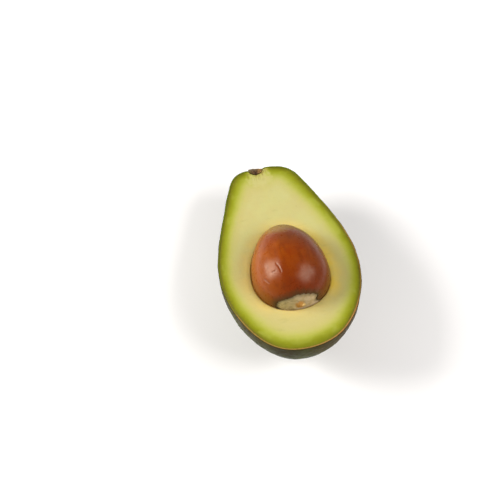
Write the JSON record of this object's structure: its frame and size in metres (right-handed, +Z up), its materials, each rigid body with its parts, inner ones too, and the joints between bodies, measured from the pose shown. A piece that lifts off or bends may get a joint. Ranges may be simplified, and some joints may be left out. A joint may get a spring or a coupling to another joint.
{
  "type": "halved avocado with its stone",
  "caption": "Lengthwise half of a pear-shaped green avocado lying on its back, cut face up, with the brown stone seated in the flesh.",
  "frame": {"origin": "centre of the bounding box's underside, on the small flat spot of the skin that the half rests on", "axes": "+Z up, towards the cut face; +Y along the fruit's axis, towards the stem end; +X to the right of the cut face when the stem end is away from the viewer"},
  "size_m": [0.071, 0.1148, 0.0557],
  "materials": {
    "skin": "satin, waxy, finely pebbled",
    "flesh": "moist, smooth, green towards the skin",
    "seed_coat": "satin, finely wrinkled",
    "seed_kernel": "dull, smooth",
    "stem_stub": "dry, fibrous"
  },
  "bodies": {
    "root": {"skin": "skin", "flesh": "flesh", "seed_coat": "seed_coat", "seed_kernel": "seed_kernel", "stem_stub": "stem_stub"}
  },
  "joints": []
}
